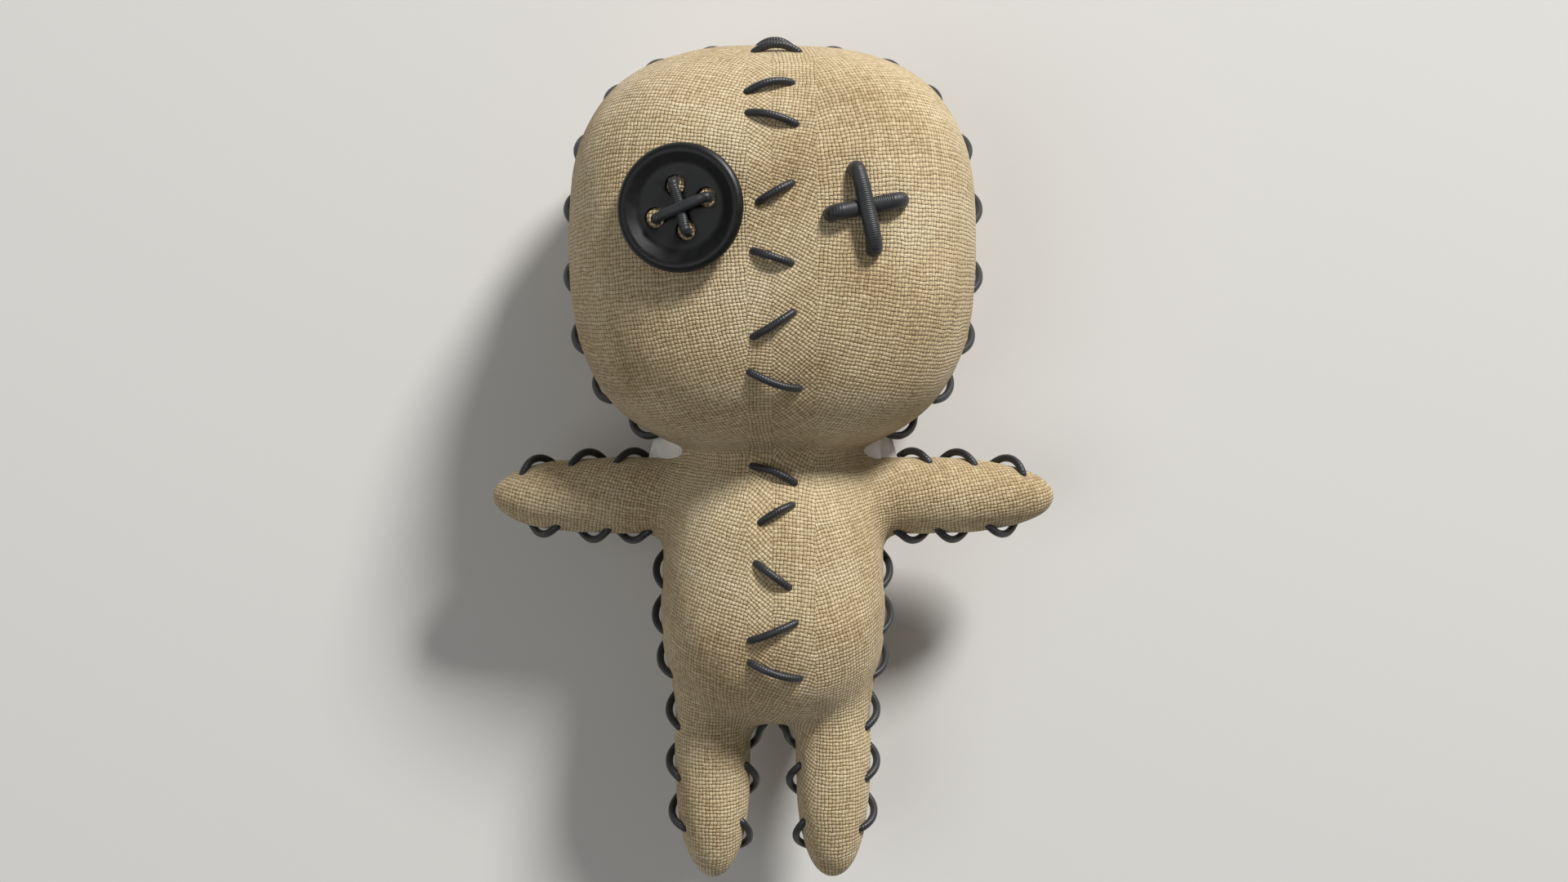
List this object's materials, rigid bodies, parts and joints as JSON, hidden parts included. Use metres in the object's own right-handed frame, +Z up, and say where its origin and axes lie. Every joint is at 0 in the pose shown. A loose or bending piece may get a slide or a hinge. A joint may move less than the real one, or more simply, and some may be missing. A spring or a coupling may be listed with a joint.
{
  "type": "voodoo doll",
  "caption": "Stuffed burlap voodoo doll lying on its back, with dark whip-stitched seams, a sewn-on button eye and a cross-stitched eye.",
  "frame": {"origin": "centre of the bounding box in X and Y, on the floor that the doll's back rests on", "axes": "+Y towards the crown of the head, +Z up out of the face, +X to the right of someone looking down on the face"},
  "size_m": [0.1472, 0.2196, 0.0851],
  "materials": {
    "burlap": "coarse plain weave",
    "fibre_filling": "packed fibre",
    "dark_cord": "waxed twisted cord",
    "black_plastic": "satin"
  },
  "bodies": {
    "root": {"front_left_panel": "burlap", "front_right_panel": "burlap", "back_panel": "burlap", "stuffing": "fibre_filling", "front_seam_cord": "dark_cord", "head_seam_cord": "dark_cord", "left_side_cord": "dark_cord", "right_side_cord": "dark_cord", "button_yarn": "dark_cord", "cross_eye_yarn": "dark_cord", "button_eye": "black_plastic"}
  },
  "joints": []
}
